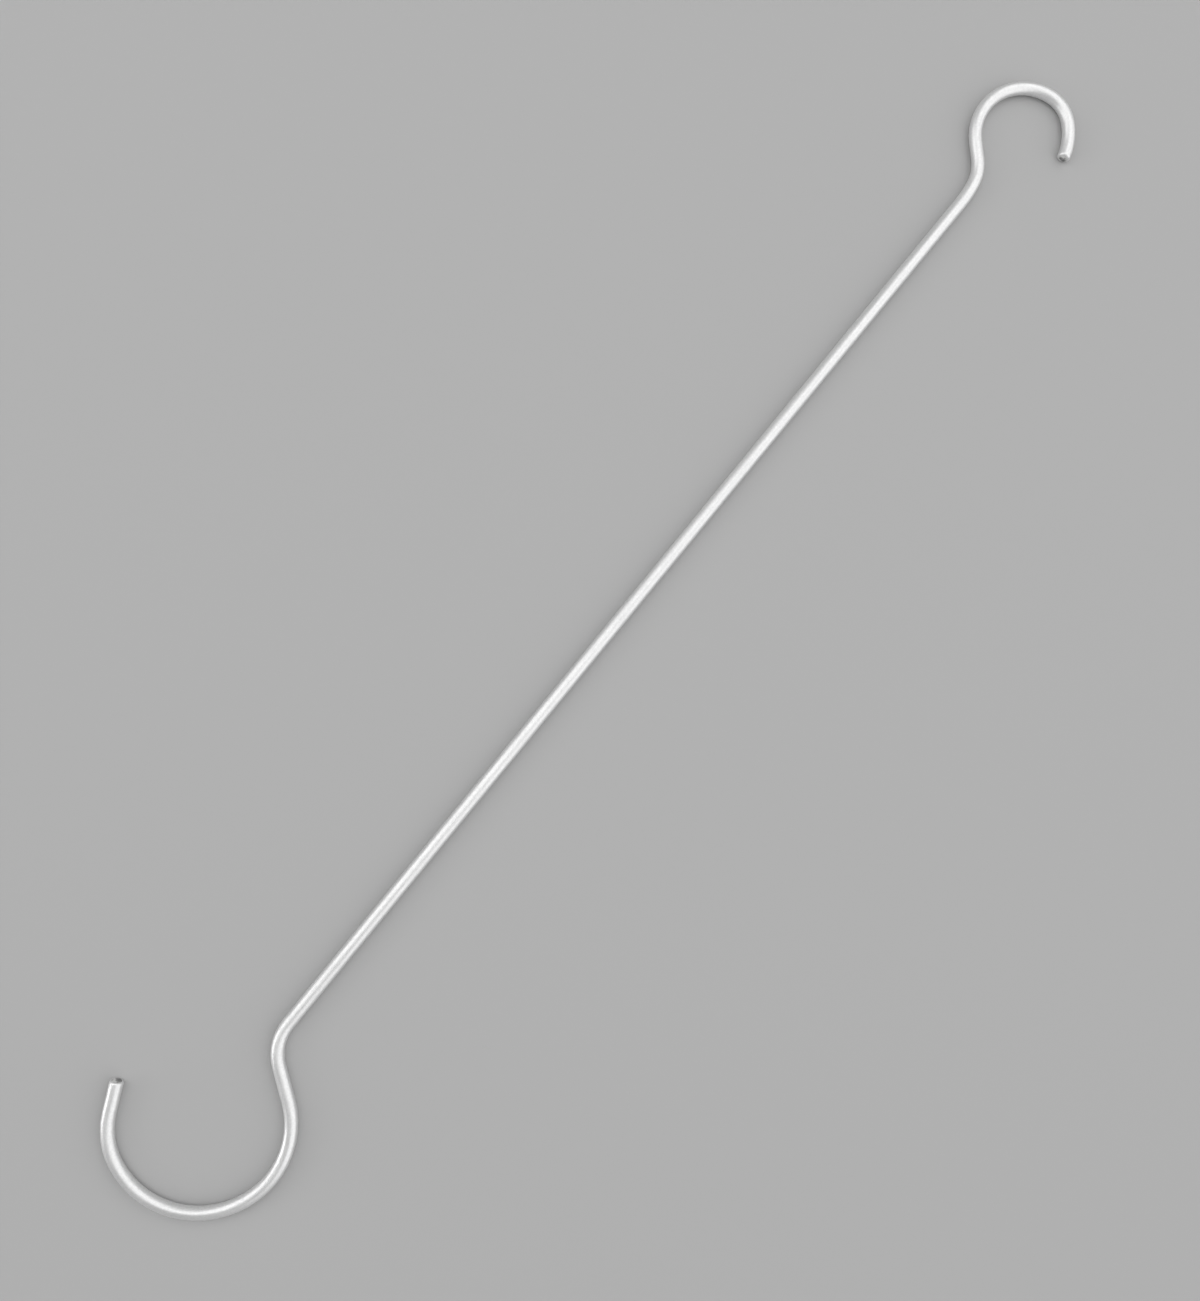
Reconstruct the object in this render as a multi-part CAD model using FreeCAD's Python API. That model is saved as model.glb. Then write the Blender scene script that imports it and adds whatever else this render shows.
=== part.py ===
import FreeCAD, Part
import math
import os

# Extension hook: one length of round steel rod, bent flat by hand, that lies on its side.
# A straight shank joins a small hook, towards +X, to a large hook, towards -X. Seen from above,
# each end leaves the shank to the left, going outwards, and then hooks back round to the right.
# Lengths are in millimetres and angles in degrees. Bend radii are to the rod's centre line.

ROD_DIAMETER = 5.0
SHANK_LENGTH = 401.5  # the straight run between the two necks

# Small hook, in order from the shank to the tip
SMALL_LEAD_RADIUS = 46.0  # the neck starts as a slow bend
SMALL_LEAD_TURN = 12.0
SMALL_NECK_RADIUS = 17.5
SMALL_NECK_TURN = 33.0
SMALL_NECK_RUN = 7.0  # straight, between the neck and the hook
SMALL_CROWN_RADIUS = 20.0  # the round of the hook, where it hangs
SMALL_CROWN_TURN = 128.0
SMALL_SHOULDER_RADIUS = 14.5  # a tighter stretch past the crown
SMALL_SHOULDER_TURN = 51.0
SMALL_TIP_RADIUS = 26.5  # the hook opens out again to its tip
SMALL_TIP_TURN = 32.0
SMALL_CUT_LEAN = 5.0  # how far the cut end is out of square, facing up

# Large hook, in order from the shank to the tip
LARGE_NECK_RADIUS = 17.0
LARGE_NECK_TURN = 55.0
LARGE_NECK_RUN = 13.0  # straight, between the neck and the hook
LARGE_NEAR_RADIUS = 30.0  # the side of the hook next to the neck
LARGE_NEAR_TURN = 77.0
LARGE_BASE_RADIUS = 34.0  # the flatter bottom, where the load hangs
LARGE_BASE_TURN = 90.0
LARGE_FAR_RADIUS = 26.5  # the side of the hook that leads to the tip
LARGE_FAR_TURN = 41.0
LARGE_TIP_RUN = 11.5  # straight, up to the cut end
LARGE_CUT_LEAN = 9.0  # how far the cut end is out of square, facing up

END_ROUNDING = 0.9  # the rim of each cut end, tumbled smooth

ROD_RADIUS = ROD_DIAMETER / 2


def direction(heading):
    """The level unit vector at an angle anticlockwise from +X."""
    return FreeCAD.Vector(math.cos(math.radians(heading)), math.sin(math.radians(heading)), 0)


class CentreLine:
    """Straight runs and tangent arcs, drawn outwards from one end of the shank."""

    def __init__(self, start, heading):
        self.point = start
        self.heading = heading
        self.edges = []

    def run(self, length):
        """Goes straight on."""
        end = self.point + direction(self.heading) * length
        self.edges.append(Part.LineSegment(self.point, end).toShape())
        self.point = end

    def bend(self, radius, turn):
        """Turns to the left, or to the right where turn is negative."""
        inward = self.heading + math.copysign(90, turn)
        centre = self.point + direction(inward) * radius
        middle = centre - direction(inward + turn / 2) * radius
        end = centre - direction(inward + turn) * radius
        self.edges.append(Part.Arc(self.point, middle, end).toShape())
        self.point = end
        self.heading += turn


def small_end():
    """The centre line of the small hook up to its cut end."""
    line = CentreLine(FreeCAD.Vector(SHANK_LENGTH, 0, 0), 0)
    line.bend(SMALL_LEAD_RADIUS, SMALL_LEAD_TURN)
    line.bend(SMALL_NECK_RADIUS, SMALL_NECK_TURN)
    line.run(SMALL_NECK_RUN)
    line.bend(SMALL_CROWN_RADIUS, -SMALL_CROWN_TURN)
    line.bend(SMALL_SHOULDER_RADIUS, -SMALL_SHOULDER_TURN)
    line.bend(SMALL_TIP_RADIUS, -SMALL_TIP_TURN)
    return line


def large_end():
    """The centre line of the large hook up to its cut end."""
    line = CentreLine(FreeCAD.Vector(0, 0, 0), 180)
    line.bend(LARGE_NECK_RADIUS, LARGE_NECK_TURN)
    line.run(LARGE_NECK_RUN)
    line.bend(LARGE_NEAR_RADIUS, -LARGE_NEAR_TURN)
    line.bend(LARGE_BASE_RADIUS, -LARGE_BASE_TURN)
    line.bend(LARGE_FAR_RADIUS, -LARGE_FAR_TURN)
    line.run(LARGE_TIP_RUN)
    return line


def waste_beyond(line, lean):
    """A block beyond the cut end, whose flat side faces back along the rod and down by the lean."""
    outward = direction(line.heading) * math.cos(math.radians(lean))
    outward.z = math.sin(math.radians(lean))
    return Part.makeCylinder(ROD_DIAMETER, 2 * ROD_DIAMETER, line.point, outward)


def bent_rod():
    """The whole rod, with its centre line at height 0 and the shank on the X axis."""
    small = small_end()
    large = large_end()
    small_waste = waste_beyond(small, SMALL_CUT_LEAN)
    large_waste = waste_beyond(large, LARGE_CUT_LEAN)

    # Each end is drawn a little too long, and then cut to its length.
    small.bend(SMALL_TIP_RADIUS, -math.degrees(ROD_RADIUS / SMALL_TIP_RADIUS))
    large.run(ROD_RADIUS)

    shank = Part.LineSegment(FreeCAD.Vector(0, 0, 0), FreeCAD.Vector(SHANK_LENGTH, 0, 0)).toShape()
    edges = list(reversed(large.edges)) + [shank] + small.edges
    path = Part.Wire(Part.__sortEdges__(edges))
    section = Part.Wire(Part.makeCircle(ROD_RADIUS, large.point, direction(large.heading)))
    rod = path.makePipe(Part.Face(section)).cut([small_waste, large_waste])

    cut_faces = [face for face in rod.Faces if isinstance(face.Surface, Part.Plane)]
    rims = [edge for face in cut_faces for edge in face.Edges]
    return rod.makeFillet(END_ROUNDING, rims)


def main():
    rod = bent_rod()
    box = rod.optimalBoundingBox(False)
    rod.translate(FreeCAD.Vector(-box.Center.x, -box.Center.y, ROD_RADIUS))
    os.makedirs("parts", exist_ok=True)
    rod.exportStep("parts/hook_rod.step")
    print(f"{len(rod.Solids)} solid, {box.XLength:.1f} x {box.YLength:.1f} x {box.ZLength:.1f} mm")


main()
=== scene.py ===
import math

import bpy
from mathutils import Matrix, Vector

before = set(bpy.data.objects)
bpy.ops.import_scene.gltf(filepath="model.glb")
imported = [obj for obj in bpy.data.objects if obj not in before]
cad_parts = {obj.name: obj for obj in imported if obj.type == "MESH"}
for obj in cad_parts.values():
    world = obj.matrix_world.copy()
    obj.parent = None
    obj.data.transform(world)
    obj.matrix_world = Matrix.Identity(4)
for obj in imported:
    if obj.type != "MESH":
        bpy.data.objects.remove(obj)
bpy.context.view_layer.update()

# Lengths are in metres, in the part's own frame: the rod lies on z = 0 with its shank along X.
ROD_RADIUS = 0.0025

# The camera looks down on the rod from 0.45 m up, with the shank across the picture's diagonal.
CAMERA_PLACE = Vector((-0.05015, 0.00032, 0.4505))
CAMERA_AIM = Vector((-0.01355, -0.00348, ROD_RADIUS))
PICTURE_UP = math.radians(39.23)  # the floor's heading that runs up the picture
LENS_MM = 33.2
SENSOR_MM = 36.0
NEAREST_SEEN = 0.01
FARTHEST_SEEN = 50.0

FLOOR_RADIUS = 1.8
FLOOR_SIDES = 128
FLOOR_TONE = 0.45
FLOOR_ROUGHNESS = 0.9

# What the rod mirrors, as radiances: a dim dome, and softboxes that add to it from SOFTBOX_DISTANCE away.
HORIZON_LIGHT = 0.43
TOP_LIGHT = 0.30
SOFTBOX_DISTANCE = 2.0

# The colours of the metal, as linear RGBA, and how much of the dull ones is mixed in at most.
STEEL = (0.862, 0.864, 0.861, 1)
DULL_LINE = (0.64, 0.64, 0.65, 1)
DULL_GRAIN = (0.58, 0.58, 0.59, 1)
TORN_PALE = (0.84, 0.84, 0.83, 1)
TORN_DARK = (0.28, 0.28, 0.28, 1)
LINE_SHARE = 0.25
GRAIN_SHARE = 0.26

METALLIC = 0.8
SATIN_ROUGHNESS = (0.39, 0.46)  # as smudges come and go
GRAIN_ROUGHNESS = 0.03  # this much more or less, with the grain
TORN_ROUGHNESS = 0.58

# How fine the patterns are, as noise scales. Those without a comment count per metre.
LINES_ALONG = 55.0
LINES_ROUND = 7.0  # per radian round the section
LINES_APART = 2.5  # per unit of the level normal, so that the rod's two sides differ
GRAIN_SCALE = 1500.0
SMUDGE_SCALE = 120.0
TEAR_SCALE = 420.0
TEAR_SEED = 9.0  # picks the patches on the cut faces

# The noise values between which each pattern goes from none to all.
LINE_RANGE = (0.45, 0.75)
GRAIN_RANGE = (0.38, 0.62)
TEAR_RANGE = (0.40, 0.60)
ROUGHNESS_RANGE = (0.3, 0.7)

# The depths of the bumps.
LINE_HEIGHT = 0.00003
GRAIN_HEIGHT = 0.00004
TEAR_HEIGHT = 0.0006
BUMP_STRENGTH = 0.7

# Each cut face is flat up to about 1.6 mm from its centre, and its rim is rounded.
CUT_TILT = 0.3  # its normal rises or falls less than this
TORN_FADE = (0.0020, 0.0026)  # the distances over which its look gives way to the rod's
UNEVEN_FADE = (0.0009, 0.0016)  # the distances over which its unevenness dies down
FACING_FADE = (0.90, 0.99)  # the cosines over which a spot comes to face the same way as it


def placement(place, right, up, back):
    """The matrix that puts an object at a place, with its X, Y and Z axes along three directions."""
    turn = Matrix((right, up, back)).transposed()
    return Matrix.Translation(place) @ turn.to_4x4()


def add_camera():
    """The camera, turned so that PICTURE_UP runs up the picture."""
    data = bpy.data.cameras.new("camera")
    data.lens = LENS_MM
    data.sensor_width = SENSOR_MM
    data.clip_start = NEAREST_SEEN
    data.clip_end = FARTHEST_SEEN
    camera = bpy.data.objects.new("camera", data)
    bpy.context.scene.collection.objects.link(camera)
    forward = (CAMERA_AIM - CAMERA_PLACE).normalized()
    picture_up = Vector((math.cos(PICTURE_UP), math.sin(PICTURE_UP), 0))
    right = forward.cross(picture_up).normalized()
    camera.matrix_world = placement(CAMERA_PLACE, right, right.cross(forward), -forward)
    bpy.context.scene.camera = camera


def picture_direction(azimuth, zenith):
    """A unit vector, from degrees anticlockwise of the picture's right and degrees from straight up."""
    heading = PICTURE_UP - math.pi / 2 + math.radians(azimuth)
    tilt = math.radians(zenith)
    level = math.sin(tilt)
    return Vector((math.cos(heading) * level, math.sin(heading) * level, math.cos(tilt)))


class Nodes:
    """Short names for making and joining the nodes of one tree."""

    # A Mix node's sockets share their names, so these number its two inputs and its output for each type.
    MIX_SOCKETS = {"FLOAT": (2, 3, 0), "RGBA": (6, 7, 2)}

    def __init__(self, tree):
        self.tree = tree

    def put(self, value, socket):
        """Links another node's socket to this one, or sets this one to a plain value."""
        if isinstance(value, bpy.types.NodeSocket):
            self.tree.links.new(value, socket)
        elif value is not None:
            socket.default_value = value

    def add(self, kind, **settings):
        node = self.tree.nodes.new("ShaderNode" + kind)
        for name, value in settings.items():
            setattr(node, name, value)
        return node

    def math(self, operation, first, second=None):
        node = self.add("Math", operation=operation)
        self.put(first, node.inputs[0])
        self.put(second, node.inputs[1])
        return node.outputs[0]

    def vector(self, operation, first, second, output="Vector"):
        node = self.add("VectorMath", operation=operation)
        self.put(first, node.inputs[0])
        self.put(second, node.inputs[1])
        return node.outputs[output]

    def ramp(self, value, low, high, to_low=0.0, to_high=1.0):
        """A smooth step from to_low to to_high while the value goes from low to high."""
        node = self.add("MapRange", interpolation_type="SMOOTHSTEP")
        self.put(value, node.inputs["Value"])
        limits = {"From Min": low, "From Max": high, "To Min": to_low, "To Max": to_high}
        for name, number in limits.items():
            node.inputs[name].default_value = number
        return node.outputs["Result"]

    def noise(self, place, scale, detail, rough=0.5, seed=0.0):
        node = self.add("TexNoise", noise_dimensions="4D")
        self.put(place, node.inputs["Vector"])
        node.inputs["W"].default_value = seed
        node.inputs["Scale"].default_value = scale
        node.inputs["Detail"].default_value = detail
        node.inputs["Roughness"].default_value = rough
        return node.outputs["Fac"]

    def blend(self, share, first, second, data_type="RGBA"):
        """Goes from the first colour or number to the second as the share goes from 0 to 1."""
        node = self.add("Mix", data_type=data_type)
        first_input, second_input, output = self.MIX_SOCKETS[data_type]
        self.put(share, node.inputs[0])
        self.put(first, node.inputs[first_input])
        self.put(second, node.inputs[second_input])
        return node.outputs[output]

    def bump(self, height, distance, before=None):
        """A bumped normal, on top of the one before it if there is one."""
        node = self.add("Bump")
        self.put(height, node.inputs["Height"])
        node.inputs["Distance"].default_value = distance
        node.inputs["Strength"].default_value = BUMP_STRENGTH
        self.put(before, node.inputs["Normal"])
        return node.outputs["Normal"]


def add_softbox(name, azimuth, zenith, width, depth, radiance):
    """A rectangular lamp that faces the aim. Its width and depth are those it would have 1 m away."""
    data = bpy.data.lights.new(name, "AREA")
    data.shape = "RECTANGLE"
    data.size = width * SOFTBOX_DISTANCE
    data.size_y = depth * SOFTBOX_DISTANCE
    data.energy = radiance * math.pi * data.size * data.size_y
    lamp = bpy.data.objects.new(name, data)
    bpy.context.scene.collection.objects.link(lamp)
    place = CAMERA_AIM + picture_direction(azimuth, zenith) * SOFTBOX_DISTANCE
    facing = (CAMERA_AIM - place).normalized()
    side = facing.cross(Vector((0, 0, 1))).normalized()
    lamp.matrix_world = placement(place, side, side.cross(facing), -facing)
    lamp.visible_camera = False


def add_world():
    """A plain dim dome, a little paler towards the horizon."""
    world = bpy.data.worlds.new("studio")
    world.use_nodes = True
    tree = Nodes(world.node_tree)
    direction = tree.add("SeparateXYZ")
    tree.put(tree.add("TexCoord").outputs["Generated"], direction.inputs[0])
    light = tree.ramp(direction.outputs["Z"], 0.0, 1.0, HORIZON_LIGHT, TOP_LIGHT)
    background = world.node_tree.nodes["Background"]
    background.inputs["Color"].default_value = (1, 1, 1, 1)
    tree.put(light, background.inputs["Strength"])
    bpy.context.scene.world = world


def add_floor():
    """A plain round floor, all of it in front of every softbox. The dome is seen beyond it."""
    data = bpy.data.meshes.new("floor")
    turns = [2 * math.pi * side / FLOOR_SIDES for side in range(FLOOR_SIDES)]
    corners = [(FLOOR_RADIUS * math.cos(turn), FLOOR_RADIUS * math.sin(turn), 0) for turn in turns]
    data.from_pydata(corners, [], [range(FLOOR_SIDES)])
    floor = bpy.data.objects.new("floor", data)
    bpy.context.scene.collection.objects.link(floor)
    material = bpy.data.materials.new("floor")
    material.use_nodes = True
    shader = material.node_tree.nodes["Principled BSDF"]
    shader.inputs["Base Color"].default_value = (FLOOR_TONE, FLOOR_TONE, FLOOR_TONE, 1)
    shader.inputs["Roughness"].default_value = FLOOR_ROUGHNESS
    shader.inputs["Specular IOR Level"].default_value = 0.0
    data.materials.append(material)


def cut_faces(mesh):
    """The centre and facing of each flat cut end: the two fairly level normals that most triangles share."""
    groups = {}
    for polygon in mesh.polygons:
        if abs(polygon.normal.z) < CUT_TILT:
            facing = tuple(round(part, 2) for part in polygon.normal)
            groups.setdefault(facing, []).append(polygon)
    faces = []
    for group in sorted(groups.values(), key=len)[-2:]:
        area = sum(polygon.area for polygon in group)
        centre = sum((polygon.center * polygon.area for polygon in group), Vector()) / area
        faces.append((centre, group[0].normal.copy()))
    return faces


def lines_along(tree, place, normal):
    """Noise that is drawn out along the rod.

    The rod is bent flat, so a line along it keeps one slope of the surface. The noise changes slowly
    in x and y, and fast with the angle from straight up, which goes round the section.
    """
    slope = tree.add("SeparateXYZ")
    tree.put(normal, slope.inputs[0])
    angle = tree.math("ARCCOSINE", slope.outputs["Z"])
    round_section = tree.add("CombineXYZ")
    tree.put(tree.math("MULTIPLY", angle, LINES_ROUND), round_section.inputs["Z"])
    along = tree.vector("MULTIPLY", place, (LINES_ALONG, LINES_ALONG, 0))
    along = tree.vector("ADD", along, tree.vector("MULTIPLY", normal, (LINES_APART, LINES_APART, 0)))
    along = tree.vector("ADD", along, round_section.outputs[0])
    return tree.noise(along, 1.0, detail=3.0, rough=0.6)


def rod_material(cuts):
    """Satin steel: a fine grain, faint lines along the rod, and a duller, sheared face at each end."""
    material = bpy.data.materials.new("rod_steel")
    material.use_nodes = True
    tree = Nodes(material.node_tree)
    shader = material.node_tree.nodes["Principled BSDF"]
    coordinates = tree.add("TexCoord")
    place = coordinates.outputs["Object"]
    normal = coordinates.outputs["Normal"]

    lines = lines_along(tree, place, normal)
    grain = tree.noise(place, GRAIN_SCALE, detail=4.0, rough=0.7)
    smudge = tree.noise(place, SMUDGE_SCALE, detail=3.0)
    tear = tree.noise(place, TEAR_SCALE, detail=3.0, rough=0.6, seed=TEAR_SEED)

    # A spot looks torn where it is near the centre of a cut face and faces the same way.
    torn_share = uneven = 0.0
    for centre, facing in cuts:
        distance = tree.vector("DISTANCE", place, centre, "Value")
        near = tree.ramp(distance, *TORN_FADE, 1.0, 0.0)
        square = tree.ramp(tree.vector("DOT_PRODUCT", normal, facing, "Value"), *FACING_FADE)
        torn_share = tree.math("MAXIMUM", torn_share, tree.math("MULTIPLY", near, square))
        uneven = tree.math("MAXIMUM", uneven, tree.ramp(distance, *UNEVEN_FADE, 1.0, 0.0))

    steel = tree.blend(tree.ramp(lines, *LINE_RANGE, 0.0, LINE_SHARE), STEEL, DULL_LINE)
    steel = tree.blend(tree.ramp(grain, *GRAIN_RANGE, 0.0, GRAIN_SHARE), steel, DULL_GRAIN)
    torn = tree.blend(tree.ramp(tear, *TEAR_RANGE), TORN_PALE, TORN_DARK)
    tree.put(tree.blend(torn_share, steel, torn), shader.inputs["Base Color"])
    shader.inputs["Metallic"].default_value = METALLIC

    smudges = tree.ramp(smudge, *ROUGHNESS_RANGE, *SATIN_ROUGHNESS)
    specks = tree.ramp(grain, *ROUGHNESS_RANGE, -GRAIN_ROUGHNESS, GRAIN_ROUGHNESS)
    satin = tree.math("ADD", smudges, specks)
    tree.put(tree.blend(torn_share, satin, TORN_ROUGHNESS, "FLOAT"), shader.inputs["Roughness"])

    surface = tree.bump(lines, LINE_HEIGHT)
    surface = tree.bump(grain, GRAIN_HEIGHT, surface)
    surface = tree.bump(tree.math("MULTIPLY", tear, uneven), TEAR_HEIGHT, surface)
    tree.put(surface, shader.inputs["Normal"])
    return material


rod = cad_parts["hook_rod"]
rod.data.materials[0] = rod_material(cut_faces(rod.data))

add_camera()
add_world()
add_floor()
add_softbox("right", azimuth=-18, zenith=54, width=2.2, depth=1.41, radiance=0.87)
add_softbox("left", azimuth=156, zenith=43, width=0.76, depth=1.08, radiance=1.24)
add_softbox("above", azimuth=67, zenith=26, width=0.55, depth=1.60, radiance=1.03)
add_softbox("low_left", azimuth=190, zenith=76, width=0.31, depth=0.47, radiance=2.9)

bpy.context.scene.view_settings.view_transform = "Standard"
